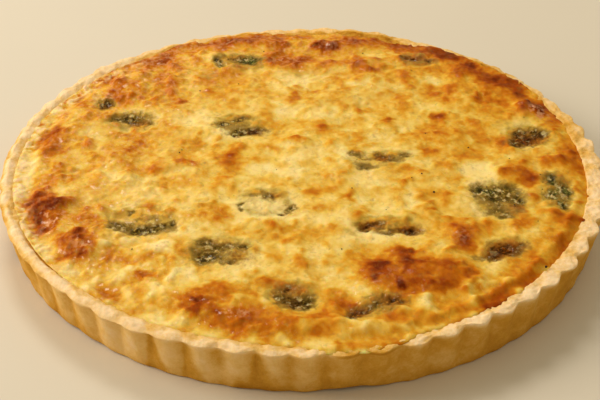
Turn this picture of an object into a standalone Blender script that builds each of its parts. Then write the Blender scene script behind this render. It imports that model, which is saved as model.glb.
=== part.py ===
"""A whole spinach pie: a fluted shortcrust case, a baked custard and cheese filling, and clumps of spinach.

The pie stands on the ground plane with +Z up and its axis on the Z axis. Lengths are in metres, and angles
round the pie are in degrees, counted anticlockwise from +X. The fluting and the unevenness of the rim are
functions of the angle, and the baked surface is one function of the place, which the clumps follow too.
"""

import math

import bmesh
import bpy
from mathutils import Vector, noise

# The pastry case
RIM_RADIUS = 0.125  # to the crests of the fluting, at the rim
FOOT_RADIUS = 0.1212  # to the crests of the fluting, at the foot
RIM_HEIGHT = 0.0205
FLUTES = 60
CREST_ANGLE = 1.0  # where one crest stands
FLUTE_DEPTH_RIM = 0.0023
FLUTE_DEPTH_RIGHT = 0.0030  # the flutes are deepest on the right at the front
RIGHT_ANGLE = 318.0
FLUTE_DEPTH_FOOT = 0.0005
LOBE_POWER = 1.3  # 1 gives round lobes with sharp valleys, 2 gives an even wave
INNER_RIM_RADIUS = 0.1183
INNER_FLOOR_RADIUS = 0.1148
FLOOR_THICKNESS = 0.0035
RIM_ROUNDING = 0.0009
FOOT_ROUNDING = 0.0012
RIM_WAVE = 0.0005  # how far the rim rises and falls
WALL_WAVE = 0.0006  # how far the wall leans in and out
FLUTE_DRIFT = 0.5  # degrees by which a flute strays from its place
FLUTE_DEPTH_WAVE = 0.25  # share by which a flute is deeper or shallower
WORN_ANGLE = 172.0  # the rim's inner side has sunk to the filling round here
WORN_DEPTH = 0.0012

# The custard
GAP = 0.0003  # left between neighbouring pieces
DISC_RINGS = 24
PLATEAU = 0.0002  # how far the middle stands above the rim
EDGE_BAND = 0.012  # the filling falls to its edge over this width
EDGE_DROP = 0.0003  # below the rim, all round
LEFT_DROP = 0.0018  # more on the side where the filling has sunk from the rim
LEFT_ANGLE = 172.0
FRONT_DROP = 0.0007  # and more beside it, at the front
FRONT_LEFT_ANGLE = 238.0
EDGE_CALM = 0.8  # share of the relief that is lost at the edge
OUTER_BAND = 1 / 6  # share of the radius over which the surface runs into its edge
SWELL_SPACING = 0.027
SWELL_HEIGHT = 0.0011
LUMP_SPACING = 0.012
LUMP_HEIGHT = 0.0009

# Where the filling has risen into a mound: x, y, half-length along x, half-width along y, height
MOUNDS = (
    (-0.101, -0.038, 0.009, 0.015, 0.0022),
    (-0.084, -0.058, 0.012, 0.012, 0.0018),
    (-0.032, -0.093, 0.018, 0.012, 0.0022),
    (0.034, -0.080, 0.017, 0.011, 0.0022),
    (0.055, -0.078, 0.012, 0.012, 0.0015),
    (0.006, -0.108, 0.020, 0.006, 0.0018),
    (0.028, -0.110, 0.016, 0.005, 0.0018),
    (0.063, -0.052, 0.007, 0.009, 0.0015),
    (0.014, 0.105, 0.013, 0.007, 0.0022),
    (-0.020, 0.108, 0.016, 0.007, 0.0016),
    (0.020, 0.086, 0.016, 0.008, 0.0014),
    (-0.078, 0.062, 0.010, 0.010, 0.0014),
    (0.082, 0.086, 0.012, 0.012, 0.0016),
    (0.100, 0.048, 0.009, 0.012, 0.0016),
    (-0.104, 0.018, 0.007, 0.012, 0.0014),
    (0.088, -0.008, 0.008, 0.008, 0.0012),
)

# Where the filling ran over the rim: angle, half-width in degrees, reach beyond the inner edge of the rim
OVERFLOWS = (
    (280.5, 5.0, 0.0058),
    (111.0, 11.0, 0.0044),
    (45.0, 15.0, 0.0038),
)
OVERFLOW_EASE = 7.0  # degrees over which an overflow rises, and again over which it spreads
OVERFLOW_THICKNESS = 0.0009
RIM_DIP = 0.0007  # the rim is lower under an overflow
EDGE_BEVEL = 0.0006

# The clumps of spinach: x, y, half-length, half-width, turn in degrees
CLUMPS = (
    (-0.030, 0.088, 0.0115, 0.0080, -5.0),
    (-0.075, 0.034, 0.0100, 0.0075, 15.0),
    (-0.0875, 0.0485, 0.0042, 0.0038, 0.0),
    (-0.028, 0.031, 0.0095, 0.0090, -20.0),
    (0.054, 0.091, 0.0085, 0.0060, -10.0),
    (0.097, 0.0225, 0.0100, 0.0080, -35.0),
    (0.032, 0.003, 0.0135, 0.0065, 8.0),
    (-0.064, -0.042, 0.0130, 0.0085, -5.0),
    (-0.015, -0.030, 0.0110, 0.0095, -15.0),
    (-0.031, -0.062, 0.0120, 0.0090, 0.0),
    (-0.004, -0.091, 0.0095, 0.0085, -40.0),
    (0.079, -0.028, 0.0105, 0.0125, 15.0),
    (0.1025, -0.021, 0.0060, 0.0130, -8.0),
    (0.033, -0.046, 0.0125, 0.0060, 0.0),
    (0.0765, -0.061, 0.0085, 0.0055, 35.0),
    (0.027, -0.0965, 0.0105, 0.0052, 28.0),
)
CLUMP_SEGMENTS = 12
CLUMP_RINGS = 6
CLUMP_DEPTH = 0.0048
CLUMP_RISE = 0.0007
CLUMP_SINK = 0.0006  # its widest outline lies this far under the baked surface
CLUMP_OUTLINE_WAVE = 0.22
CLUMP_OUTLINE_TURNS = 1.4
CLUMP_CRUMPLE = 0.6
CLUMP_CRUMPLE_SPACING = 0.0025
POCKET_REACH = 0.012  # how far a pocket's cutter stands above the surface

# Layers of the noise, so that no two kinds of unevenness run together
LOBE_LAYER = 6.3
RIM_LAYER = 1.5
DEPTH_LAYER = 9.4
LEAN_LAYER = 4.2
SWELL_LAYER = 3.1
LUMP_LAYER = 8.7
CRUMPLE_LAYER = 2.6
OUTLINE_LAYER = 5.3

# Colour, roughness and metallic value of each kind of piece
PASTRY_FINISH = ((0.78, 0.56, 0.27, 1.0), 0.75, 0.0)
CUSTARD_FINISH = ((0.83, 0.53, 0.13, 1.0), 0.5, 0.0)
SPINACH_FINISH = ((0.06, 0.07, 0.02, 1.0), 0.55, 0.0)


def mix(low, high, share):
    return low + (high - low) * share


def ease(share):
    """0 up to 0, 1 from 1, and smooth between."""
    share = min(max(share, 0.0), 1.0)
    return share * share * (3 - 2 * share)


def away(angle, other):
    """How many degrees lie between two angles."""
    return abs((angle - other + 180) % 360 - 180)


def wave_round(angle, turns, layer):
    """Smooth unevenness round the pie, between about -1 and 1, with about this many waves a turn."""
    a = math.radians(angle)
    reach = turns / (2 * math.pi)
    return noise.noise(Vector((reach * math.cos(a), reach * math.sin(a), layer)))


def wave(x, y, spacing, layer):
    """Smooth unevenness over the surface, between about -1 and 1, with lumps this far apart."""
    return noise.noise(Vector((x / spacing, y / spacing, layer)))


def nearness(angle, centre, width):
    """1 round an angle, falling smoothly to 0 at 1.6 widths from it."""
    return ease(1.6 - away(angle, centre) / width)


def lobe(angle):
    """1 on a crest of the fluting, 0 in the valley between two crests."""
    angle += FLUTE_DRIFT * wave_round(angle, 30, LOBE_LAYER)
    return abs(math.cos(math.radians(FLUTES * (angle - CREST_ANGLE) / 2))) ** LOBE_POWER


def flute_depth(angle):
    """Depth of the fluting at the rim."""
    uneven = 1 + FLUTE_DEPTH_WAVE * wave_round(angle, 22, DEPTH_LAYER)
    return mix(FLUTE_DEPTH_RIM, FLUTE_DEPTH_RIGHT, nearness(angle, RIGHT_ANGLE, 40)) * uneven


def overflow(angle):
    """How far an overflow has risen to the top of the rim, how far it has spread over it, and its reach."""
    risen, spread, reach = 0.0, 0.0, 0.0
    for centre, half_width, longest in OVERFLOWS:
        beyond = away(angle, centre) - half_width
        here = ease(1 - (beyond - OVERFLOW_EASE) / OVERFLOW_EASE)
        if here > risen:
            risen = here
            spread = ease(1 - beyond / OVERFLOW_EASE)
            reach = longest
    return risen, spread, reach


def rim_top(angle):
    """Height of the rim's top."""
    return RIM_HEIGHT + RIM_WAVE * wave_round(angle, 34, RIM_LAYER) - RIM_DIP * overflow(angle)[0]


def inner_wall(z):
    """Inner radius of the case at a height between its floor and its rim."""
    share = (z - FLOOR_THICKNESS) / (RIM_HEIGHT - RIM_ROUNDING - FLOOR_THICKNESS)
    return mix(INNER_FLOOR_RADIUS, INNER_RIM_RADIUS, share)


def baked_surface(x, y):
    """Height of the baked surface."""
    radius = math.hypot(x, y)
    angle = math.degrees(math.atan2(y, x))
    to_edge = ease((radius - INNER_RIM_RADIUS + EDGE_BAND) / EDGE_BAND)
    drop = EDGE_DROP + LEFT_DROP * nearness(angle, LEFT_ANGLE, 45)
    drop += FRONT_DROP * nearness(angle, FRONT_LEFT_ANGLE, 30)
    height = RIM_HEIGHT + PLATEAU - to_edge * (PLATEAU + drop)
    relief = SWELL_HEIGHT * wave(x, y, SWELL_SPACING, SWELL_LAYER)
    relief += LUMP_HEIGHT * wave(x, y, LUMP_SPACING, LUMP_LAYER)
    for mound_x, mound_y, half_length, half_width, rise in MOUNDS:
        relief += rise * math.exp(-((x - mound_x) / half_length) ** 2 - ((y - mound_y) / half_width) ** 2)
    return height + relief * (1 - EDGE_CALM * to_edge)


def finish(name, values):
    """A Principled material with this colour, roughness and metallic value."""
    colour, roughness, metallic = values
    material = bpy.data.materials.new(name)
    material.use_nodes = True
    shader = material.node_tree.nodes["Principled BSDF"]
    shader.inputs["Base Color"].default_value = colour
    shader.inputs["Roughness"].default_value = roughness
    shader.inputs["Metallic"].default_value = metallic
    return material


def add_object(name, mesh, collection, material=None):
    piece = bpy.data.objects.new(name, mesh)
    collection.objects.link(piece)
    if material:
        mesh.materials.append(material)
    return piece


def make_case(collection, material):
    """The pastry case: a turned profile, then fluted on the outside and made uneven along the rim."""
    profile = (
        (0.0, FLOOR_THICKNESS),
        (INNER_FLOOR_RADIUS, FLOOR_THICKNESS),
        (INNER_RIM_RADIUS, RIM_HEIGHT - RIM_ROUNDING),
        (INNER_RIM_RADIUS + RIM_ROUNDING, RIM_HEIGHT),
        (RIM_RADIUS - RIM_ROUNDING / 2, RIM_HEIGHT),
        (RIM_RADIUS, RIM_HEIGHT - RIM_ROUNDING),
        (FOOT_RADIUS, FOOT_ROUNDING),
        (FOOT_RADIUS - FOOT_ROUNDING, 0.0),
        (0.0, 0.0),
    )
    outline = bpy.data.meshes.new("case outline")
    edges = [(i, i + 1) for i in range(len(profile) - 1)]
    outline.from_pydata([(r, 0, z) for r, z in profile], edges, [])
    turned = add_object("case outline", outline, collection)
    screw = turned.modifiers.new("Turn", "SCREW")
    screw.steps = screw.render_steps = 6 * FLUTES
    screw.use_merge_vertices = True
    screw.merge_threshold = 0.00005
    graph = bpy.context.evaluated_depsgraph_get()
    mesh = bpy.data.meshes.new_from_object(turned.evaluated_get(graph))
    bpy.data.objects.remove(turned)
    mesh.name = "case"
    for vertex in mesh.vertices:
        vertex.co = fluted(vertex.co)
    mesh.shade_smooth()
    mesh.set_sharp_from_angle(angle=math.radians(50))
    return add_object("crust", mesh, collection, material)


def fluted(point):
    """Moves a point of the turned case to its place on the fluted, uneven one."""
    x, y, z = point
    radius = math.hypot(x, y)
    if radius < INNER_FLOOR_RADIUS / 2:
        return point
    angle = math.degrees(math.atan2(y, x))
    share = z / RIM_HEIGHT
    inner = inner_wall(z)
    outer = mix(FOOT_RADIUS, RIM_RADIUS, share)
    through = min(max((radius - inner) / (outer - inner), 0.0), 1.0)
    depth = mix(FLUTE_DEPTH_FOOT, flute_depth(angle), share)
    lean = WALL_WAVE * share * wave_round(angle, 26, LEAN_LAYER)
    if z > RIM_HEIGHT / 2:
        z -= WORN_DEPTH * ease(1 - 2 * through) * nearness(angle, WORN_ANGLE, 35)
    radius += through * (lean - depth * (1 - lobe(angle)))
    z += ease(share) * (rim_top(angle) - RIM_HEIGHT)
    a = math.radians(angle)
    return Vector((radius * math.cos(a), radius * math.sin(a), z))


def edge_rings(angle, top):
    """The filling's outline at this angle, as radius and height: its upper edge, then points down its side."""
    risen, spread, reach = overflow(angle)
    rim = rim_top(angle)
    on_rim = rim + GAP
    upper = mix(top, on_rim + OVERFLOW_THICKNESS, risen)
    under = mix(top - EDGE_BEVEL, on_rim, risen)
    lower = mix(under - EDGE_BEVEL, on_rim, spread)
    out = inner_wall(min(upper, RIM_HEIGHT - RIM_ROUNDING)) - GAP
    side = inner_wall(min(lower, RIM_HEIGHT - RIM_ROUNDING)) - GAP
    return (
        (out + spread * reach - (1 - spread) * EDGE_BEVEL / 2, upper),
        (out + spread * reach, under),
        (side, lower),
        (INNER_FLOOR_RADIUS - GAP, FLOOR_THICKNESS + GAP),
    )


def make_filling(collection, material):
    """The custard: a disc of triangles raised to the baked surface, with a side down to a flat underside."""
    bm = bmesh.new()
    bmesh.ops.create_circle(bm, cap_ends=True, cap_tris=True, segments=6, radius=1.0)
    bmesh.ops.subdivide_edges(bm, edges=bm.edges[:], cuts=DISC_RINGS - 1, use_grid_fill=True)
    bmesh.ops.triangulate(bm, faces=bm.faces[:])
    rim_edges = [edge for edge in bm.edges if edge.is_boundary]
    rings = len(edge_rings(0.0, RIM_HEIGHT))
    edge_points = {vertex for edge in rim_edges for vertex in edge.verts}
    for vertex in bm.verts:
        angle = math.degrees(math.atan2(vertex.co.y, vertex.co.x))
        within_side = math.radians((angle + 390) % 60 - 30)
        share = vertex.co.length * math.cos(within_side) / math.cos(math.radians(30))
        a = math.radians(angle)
        top = baked_surface(INNER_RIM_RADIUS * share * math.cos(a), INNER_RIM_RADIUS * share * math.sin(a))
        outer, edge_height = edge_rings(angle, top)[0]
        to_rim = ease((share - 1 + OUTER_BAND) / OUTER_BAND)
        height = edge_height if vertex in edge_points else mix(top, edge_height, to_rim)
        vertex.co = (outer * share * math.cos(a), outer * share * math.sin(a), height)
    for ring in range(1, rings):
        made = bmesh.ops.extrude_edge_only(bm, edges=rim_edges)["geom"]
        rim_edges = [item for item in made if isinstance(item, bmesh.types.BMEdge) and item.is_boundary]
        for vertex in {vertex for edge in rim_edges for vertex in edge.verts}:
            x, y, _ = vertex.co
            angle = math.degrees(math.atan2(y, x))
            a = math.radians(angle)
            top = baked_surface(INNER_RIM_RADIUS * math.cos(a), INNER_RIM_RADIUS * math.sin(a))
            radius, height = edge_rings(angle, top)[ring]
            vertex.co = (radius * math.cos(a), radius * math.sin(a), height)
    bmesh.ops.contextual_create(bm, geom=rim_edges)
    bmesh.ops.recalc_face_normals(bm, faces=bm.faces[:])
    mesh = bpy.data.meshes.new("filling")
    bm.to_mesh(mesh)
    bm.free()
    mesh.shade_smooth()
    mesh.set_sharp_from_angle(angle=math.radians(60))
    return add_object("filling", mesh, collection, material)


def clump_mesh(name, index, grow, above):
    """A flattened lump that follows the baked surface, grown by a margin, rising by `above` at its middle."""
    x, y, half_length, half_width, turn = CLUMPS[index]
    bm = bmesh.new()
    bmesh.ops.create_uvsphere(bm, u_segments=CLUMP_SEGMENTS, v_segments=CLUMP_RINGS, radius=1.0)
    cosine, sine = math.cos(math.radians(turn)), math.sin(math.radians(turn))
    for vertex in bm.verts:
        across, along, up = vertex.co
        uneven = wave(across, along, 1 / CLUMP_OUTLINE_TURNS, OUTLINE_LAYER * index)
        across *= half_length * (1 + CLUMP_OUTLINE_WAVE * uneven) + grow
        along *= half_width * (1 + CLUMP_OUTLINE_WAVE * uneven) + grow
        place_x = x + across * cosine - along * sine
        place_y = y + across * sine + along * cosine
        rise = up * (above if up > 0 else CLUMP_DEPTH + grow)
        if up > 0 and not grow:
            rise *= 1 + CLUMP_CRUMPLE * wave(place_x, place_y, CLUMP_CRUMPLE_SPACING, CRUMPLE_LAYER)
        vertex.co = (place_x, place_y, baked_surface(place_x, place_y) - CLUMP_SINK + rise)
    mesh = bpy.data.meshes.new(name)
    bm.to_mesh(mesh)
    bm.free()
    mesh.shade_smooth()
    return mesh


def make_clumps(collection, cutters, material):
    """Each clump, and the cutter of the pocket that it sits in."""
    for index in range(len(CLUMPS)):
        name = f"spinach_{index + 1:02d}"
        add_object(name, clump_mesh(name, index, 0.0, CLUMP_RISE), collection, material)
        pocket = clump_mesh(f"pocket_{index + 1:02d}", index, GAP, POCKET_REACH)
        cutter = add_object(pocket.name, pocket, cutters)
        cutter.hide_render = True
        cutter.display_type = "WIRE"


def make_pie():
    for old in list(bpy.data.objects):
        bpy.data.objects.remove(old)
    pie = bpy.data.collections.new("spinach pie")
    cutters = bpy.data.collections.new("pocket cutters")
    for collection in (pie, cutters):
        bpy.context.scene.collection.children.link(collection)
    make_case(pie, finish("pastry", PASTRY_FINISH))
    filling = make_filling(pie, finish("custard", CUSTARD_FINISH))
    make_clumps(pie, cutters, finish("spinach", SPINACH_FINISH))
    pockets = filling.modifiers.new("Pockets", "BOOLEAN")
    pockets.operation = "DIFFERENCE"
    pockets.operand_type = "COLLECTION"
    pockets.collection = cutters
    pockets.solver = "EXACT"


make_pie()
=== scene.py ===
# %% [markdown]
# # A whole spinach pie
#
# This lesson dresses the solids of a spinach pie: a fluted shortcrust case, a baked custard and cheese
# filling, and clumps of spinach in its browned top. The solids come in as a fixed frame, in metres, with
# the pie standing on the ground plane and its axis on Z. Everything below is built round them.

# %% The frame
import math
import random

import bpy
import numpy as np
from mathutils import Matrix, Vector, noise


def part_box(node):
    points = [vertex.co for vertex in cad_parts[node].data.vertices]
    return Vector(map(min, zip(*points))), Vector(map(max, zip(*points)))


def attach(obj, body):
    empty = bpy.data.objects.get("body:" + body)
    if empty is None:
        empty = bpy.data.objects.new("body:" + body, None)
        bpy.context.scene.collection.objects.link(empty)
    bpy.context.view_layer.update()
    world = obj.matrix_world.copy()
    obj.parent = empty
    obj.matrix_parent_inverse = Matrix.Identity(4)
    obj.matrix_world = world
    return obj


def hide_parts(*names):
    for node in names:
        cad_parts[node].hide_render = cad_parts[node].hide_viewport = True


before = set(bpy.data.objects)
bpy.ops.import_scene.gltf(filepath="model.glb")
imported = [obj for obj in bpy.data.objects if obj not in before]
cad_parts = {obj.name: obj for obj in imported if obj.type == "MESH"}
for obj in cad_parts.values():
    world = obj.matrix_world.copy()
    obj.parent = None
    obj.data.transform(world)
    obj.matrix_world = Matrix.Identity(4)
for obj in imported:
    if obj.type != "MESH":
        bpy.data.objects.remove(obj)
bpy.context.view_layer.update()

MM = 0.001  # metres in a millimetre

crust_low, crust_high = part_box("crust")
print("pie", [round(side / MM, 1) for side in crust_high - crust_low], "mm,", len(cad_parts), "nodes")

# %% [markdown]
# ## The camera
#
# The photograph looks down on the pie at about 34 degrees from the front, with a fairly long lens. A camera
# looks along its own -Z, so its three axes are worked out from the direction of view and set as a matrix.
# The small roll is how far the photographer's camera was tipped.

# %% The camera at the photograph's viewing angle
VIEW_ELEVATION = math.radians(33.68)
VIEW_ROLL = math.radians(0.20)
VIEW_DISTANCE = 0.5974
VIEW_TARGET = Vector((-0.00104, 0.00207, 0.0))
LENS = 84.0  # millimetres, on a sensor 36 mm wide

ahead = Vector((0.0, math.cos(VIEW_ELEVATION), -math.sin(VIEW_ELEVATION)))
right = Vector((1.0, 0.0, 0.0))
turned = Matrix((right, right.cross(ahead), -ahead)).transposed().to_4x4()
turned @= Matrix.Rotation(VIEW_ROLL, 4, "Z")
camera = bpy.data.objects.new("camera", bpy.data.cameras.new("camera"))
bpy.context.scene.collection.objects.link(camera)
camera.data.lens = LENS
camera.data.sensor_width = 36.0
camera.matrix_world = Matrix.Translation(VIEW_TARGET - VIEW_DISTANCE * ahead) @ turned
bpy.context.scene.camera = camera
print("camera at", [round(c, 3) for c in camera.location], "lens", LENS)

# %% [markdown]
# ## Finishes
#
# A finish is a Principled shader and the nodes that feed it. Long chains of math nodes are hard to read, so
# a node's output is wrapped: + - and * between outputs add the nodes. A value that is the same all over goes
# straight into the shader's own socket.

# %% Colours, and nodes that add up


def srgb(red, green, blue):
    """A colour given as 0 to 255 on screen, as the linear values that a shader takes."""
    return (*(((c / 255 + 0.055) / 1.055) ** 2.4 if c > 10 else c / 3294 for c in (red, green, blue)), 1.0)


class Wire:
    """A node's output, on which + - and * work."""

    def __init__(self, socket):
        self.socket = socket

    def joined(self, operation, *values):
        tree = self.socket.id_data
        return add_node(tree, "ShaderNodeMath", "Value", enumerate(values), operation=operation)

    def __add__(self, other):
        return self.joined("ADD", self, other)

    def __sub__(self, other):
        return self.joined("SUBTRACT", self, other)

    def __rsub__(self, other):
        return self.joined("SUBTRACT", other, self)

    def __mul__(self, other):
        return self.joined("MULTIPLY", self, other)


def fill(socket, value):
    """Links a wire to a socket, or sets the socket to a value."""
    if isinstance(value, Wire):
        socket.id_data.links.new(value.socket, socket)
    else:
        socket.default_value = value


def add_node(tree, kind, output, inputs, **settings):
    """A new node's output; inputs are pairs of a socket's name or number and its value."""
    made = tree.nodes.new(kind)
    for name, value in settings.items():
        setattr(made, name, value)
    for key, value in inputs:
        fill(made.inputs[key], value)
    return Wire(made.outputs[output])


print("on screen 128 is", round(srgb(128, 128, 128)[0], 3), "in a shader")

# %% What a finish is made of


class Finish:
    """A material, and the kinds of node that the pie's finishes are made of."""

    def __init__(self, name, roughness, specular=0.5, **sockets):
        self.material = bpy.data.materials.new(name)
        self.material.use_nodes = True
        self.place = self.add("ShaderNodeTexCoord", "Object")
        self.set("Roughness", roughness)
        self.set("Specular IOR Level", specular)
        for socket, value in sockets.items():
            self.set(socket.replace("_", " "), value)

    def add(self, kind, output, inputs=None, **settings):
        return add_node(self.material.node_tree, kind, output, (inputs or {}).items(), **settings)

    def set(self, socket, value):
        fill(self.material.node_tree.nodes["Principled BSDF"].inputs[socket], value)

    def read(self, attribute):
        return self.add("ShaderNodeAttribute", "Fac", attribute_name=attribute)

    def noise(self, spacing, detail=3.0, roughness=0.6, distortion=0.0):
        """Noise with features about this far apart, in metres."""
        inputs = {"Vector": self.place, "Scale": 1 / spacing, "Detail": detail, "Roughness": roughness}
        return self.add("ShaderNodeTexNoise", "Fac", inputs | {"Distortion": distortion})

    def bubbles(self, spacing):
        """Round bubbles about this far apart: 0 in the middle of each, 1 between them."""
        inputs = {"Vector": self.place, "Scale": 1 / spacing, "Smoothness": 0.35}
        return self.add("ShaderNodeTexVoronoi", "Distance", inputs, feature="SMOOTH_F1")

    def patches(self, spacing, low, high, detail=2.0, roughness=0.5):
        """Soft-edged patches: 1 where noise is above high, 0 where it is below low."""
        return self.step(self.noise(spacing, detail, roughness), low, high)

    def step(self, value, low, high):
        """0 below low, 1 above high, and smooth between."""
        inputs = {"Value": value, "From Min": low, "From Max": high}
        return self.add("ShaderNodeMapRange", "Result", inputs, interpolation_type="SMOOTHSTEP")

    def blend(self, share, under, over):
        """One colour laid over another."""
        return self.add("ShaderNodeMix", 2, {0: share, 6: under, 7: over}, data_type="RGBA")

    def ramp(self, value, stops):
        """A colour ramp through stops of position, red, green and blue."""
        colour = self.add("ShaderNodeValToRGB", "Color", {"Fac": value})
        elements = colour.socket.node.color_ramp.elements
        while len(elements) < len(stops):
            elements.new(0.5)
        for element, (position, *shade) in zip(elements, stops):
            element.position = position
            element.color = srgb(*shade)
        return colour

    def bump(self, *layers):
        """Bumps laid one on the other; layers are height, strength and distance."""
        below = {}
        for height, strength, distance in layers:
            inputs = {"Height": height, "Strength": strength, "Distance": distance}
            below = {"Normal": self.add("ShaderNodeBump", "Normal", inputs | below)}
        self.set("Normal", below["Normal"])


def mottle(base, *parts):
    """base plus each noise, counted from its middle, times its strength."""
    for grain, strength in parts:
        base = (grain - 0.5) * strength + base
    return base


print("a finish can", ", ".join(word for word in vars(Finish) if word[0] != "_"))

# %% [markdown]
# ## Floor and light
#
# A plain pale floor carries the pie. A large soft light on the left, as in the photograph, makes the left
# of the pastry bright and leaves its right front in shade. A weak fill and a pale sky keep the shade open.

# %% Floor and light
FLOOR_SIZE = 6.0
FLOOR_COLOUR = (0.665, 0.61, 0.515, 1.0)
FLOOR_GRAIN = 1 / 14
SKY_COLOUR = (1.0, 0.87, 0.61, 1.0)
SKY_STRENGTH = 0.53
# Square lights turned to the middle of the pie: name, place, side, power and colour
LIGHTS = (
    ("window", (-1.30, 0.20, 0.80), 0.8, 17.5, (1.0, 0.90, 0.78)),
    ("ceiling", (-0.3, 1.0, 1.3), 0.45, 8.0, (1.0, 0.93, 0.82)),
)


def add_floor():
    bpy.ops.object.select_all(action="DESELECT")
    bpy.ops.mesh.primitive_plane_add(size=FLOOR_SIZE)
    floor = bpy.context.object
    floor.name = "floor"
    finish = Finish("pale floor", 0.6)
    darker = (*(0.97 * c for c in FLOOR_COLOUR[:3]), 1.0)
    finish.set("Base Color", finish.blend(finish.noise(FLOOR_GRAIN, 3.0, 0.5), FLOOR_COLOUR, darker))
    floor.data.materials.append(finish.material)


def add_light(name, place, size, power, colour):
    light = bpy.data.lights.new(name, "AREA")
    light.size = size
    light.energy = power
    light.color = colour
    lamp = bpy.data.objects.new(name, light)
    bpy.context.scene.collection.objects.link(lamp)
    lamp.location = place
    lamp.rotation_euler = (-Vector(place)).to_track_quat("-Z", "Y").to_euler()


def add_sky():
    world = bpy.data.worlds.new("sky")
    bpy.context.scene.world = world
    world.use_nodes = True
    background = world.node_tree.nodes["Background"]
    background.inputs["Color"].default_value = SKY_COLOUR
    background.inputs["Strength"].default_value = SKY_STRENGTH


bpy.context.scene.view_settings.view_transform = "Standard"
add_floor()
add_sky()
for settings in LIGHTS:
    add_light(*settings)
print("floor, sky and", len(LIGHTS), "lights")

# %% [markdown]
# ## The shape of the pie
#
# The pastry was baked in a fluted tin, so its outside is sixty lobes, and the filling rose and sank
# unevenly. These functions of angle and place gave the solids their form. They are repeated here so that
# the fine surface lies on the same mounds, dips and lobes.

# %% Sizes shared with the solids
RIM_RADIUS = 0.125
FOOT_RADIUS = 0.1212
RIM_HEIGHT = 0.0205
FLUTES = 60
CREST_ANGLE = 1.0
FLUTE_DEPTH_RIM = 0.0023
FLUTE_DEPTHS = ((318, 30, 0.0030), (62, 62, 0.0017), (172, 38, 0.0014))  # at an angle, within a width
FLUTE_DEPTH_FOOT = 0.0005
LOBE_POWER = 1.3
INNER_RIM_RADIUS = 0.1183
INNER_FLOOR_RADIUS = 0.1148
FLOOR_THICKNESS = 0.0035
RIM_ROUNDING = 0.0009
FOOT_ROUNDING = 0.0012
RIM_WAVE = 0.0005
WALL_WAVE = 0.0006
FLUTE_DRIFT = 0.5
FLUTE_DEPTH_WAVE = 0.25
PLATEAU = 0.0002
EDGE_BAND = 0.012
EDGE_DROP = 0.0003
LEFT_DROP = 0.0012
LEFT_ANGLE = 172
FRONT_DROP = 0.0007
FRONT_LEFT_ANGLE = 238
SWELL_SPACING = 0.027
SWELL_HEIGHT = 0.0011
LUMP_SPACING = 0.012
LUMP_HEIGHT = 0.0009
OVERFLOW_EASE = 7.0
OVERFLOW_THICKNESS = 0.0009
RIM_DIP = 0.0007

# Mounds of risen filling: x, y, half-length along x, half-width along y and height in millimetres
MOUNDS = (
    (-101, -38, 9, 15, 2.2), (-84, -58, 12, 12, 1.8), (-32, -93, 18, 12, 2.2), (34, -80, 17, 11, 2.2),
    (55, -78, 12, 12, 1.5), (6, -108, 20, 6, 1.8), (28, -110, 16, 5, 1.8), (63, -52, 7, 9, 1.5),
    (14, 105, 13, 7, 2.2), (-20, 108, 16, 7, 1.6), (20, 86, 16, 8, 1.4), (-78, 62, 10, 10, 1.4),
    (82, 86, 12, 12, 1.6), (100, 48, 9, 12, 1.6), (-104, 18, 7, 12, 1.4), (88, -8, 8, 8, 1.2),
)
# Overflows: angle, half-width in degrees, and reach beyond the inner edge of the rim in millimetres
OVERFLOWS = ((280.5, 5.0, 4.8), (104.0, 4.0, 4.4), (118.0, 3.0, 4.0), (45.0, 15.0, 3.8))
# The clumps of spinach: x, y, half-length and half-width in millimetres, and turn in degrees
CLUMPS = (
    (-30, 88, 11.5, 8, -5), (-75, 34, 10, 7.5, 15), (-87.5, 48.5, 4.2, 3.8, 0), (-28, 31, 9.5, 9, -20),
    (54, 91, 8.5, 6, -10), (97, 22.5, 10, 8, -35), (32, 3, 13.5, 6.5, 8), (-64, -42, 13, 8.5, -5),
    (-15, -30, 11, 9.5, -15), (-31, -62, 12, 9, 0), (-4, -91, 9.5, 8.5, -40), (79, -28, 10.5, 12.5, 15),
    (102.5, -21, 6, 13, -8), (33, -46, 12.5, 6, 0), (76.5, -61, 8.5, 5.5, 35), (27, -96.5, 10.5, 5.2, 28),
)


print(len(MOUNDS), "mounds,", len(OVERFLOWS), "overflows,", len(CLUMPS), "clumps")

# %% Forms shared with the solids


def mix(low, high, share):
    """low at a share of 0, high at 1."""
    return low + (high - low) * share


def ease(share):
    """0 up to 0, 1 from 1, and smooth between."""
    share = min(max(share, 0.0), 1.0)
    return share * share * (3 - 2 * share)


def away(angle, other):
    """How many degrees lie between two angles."""
    return abs((angle - other + 180) % 360 - 180)


def nearness(angle, centre, width, reach=1.6):
    """1 round an angle, falling smoothly to 0 at reach widths from it."""
    return ease(reach - away(angle, centre) / width)


def wave(x, y, spacing, layer):
    """Smooth unevenness over the surface, between about -1 and 1, with lumps this far apart."""
    return noise.noise(Vector((x / spacing, y / spacing, layer)))


def wave_round(angle, turns, layer):
    """The same round the pie, with about this many waves a turn."""
    a = math.radians(angle)
    return wave(math.cos(a), math.sin(a), math.tau / turns, layer)


def lobe(angle):
    """1 on a crest of the fluting, 0 in the valley between two crests."""
    angle += FLUTE_DRIFT * wave_round(angle, 30, 6.3)
    return abs(math.cos(math.radians(FLUTES * (angle - CREST_ANGLE) / 2))) ** LOBE_POWER


def flute_depth(angle):
    """Depth of the fluting at the rim: deepest at the right front, and nearly lost at the left."""
    depth = FLUTE_DEPTH_RIM
    for centre, width, there in FLUTE_DEPTHS:
        depth = mix(depth, there, nearness(angle, centre, width))
    return depth * (1 + FLUTE_DEPTH_WAVE * wave_round(angle, 22, 9.4))


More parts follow.
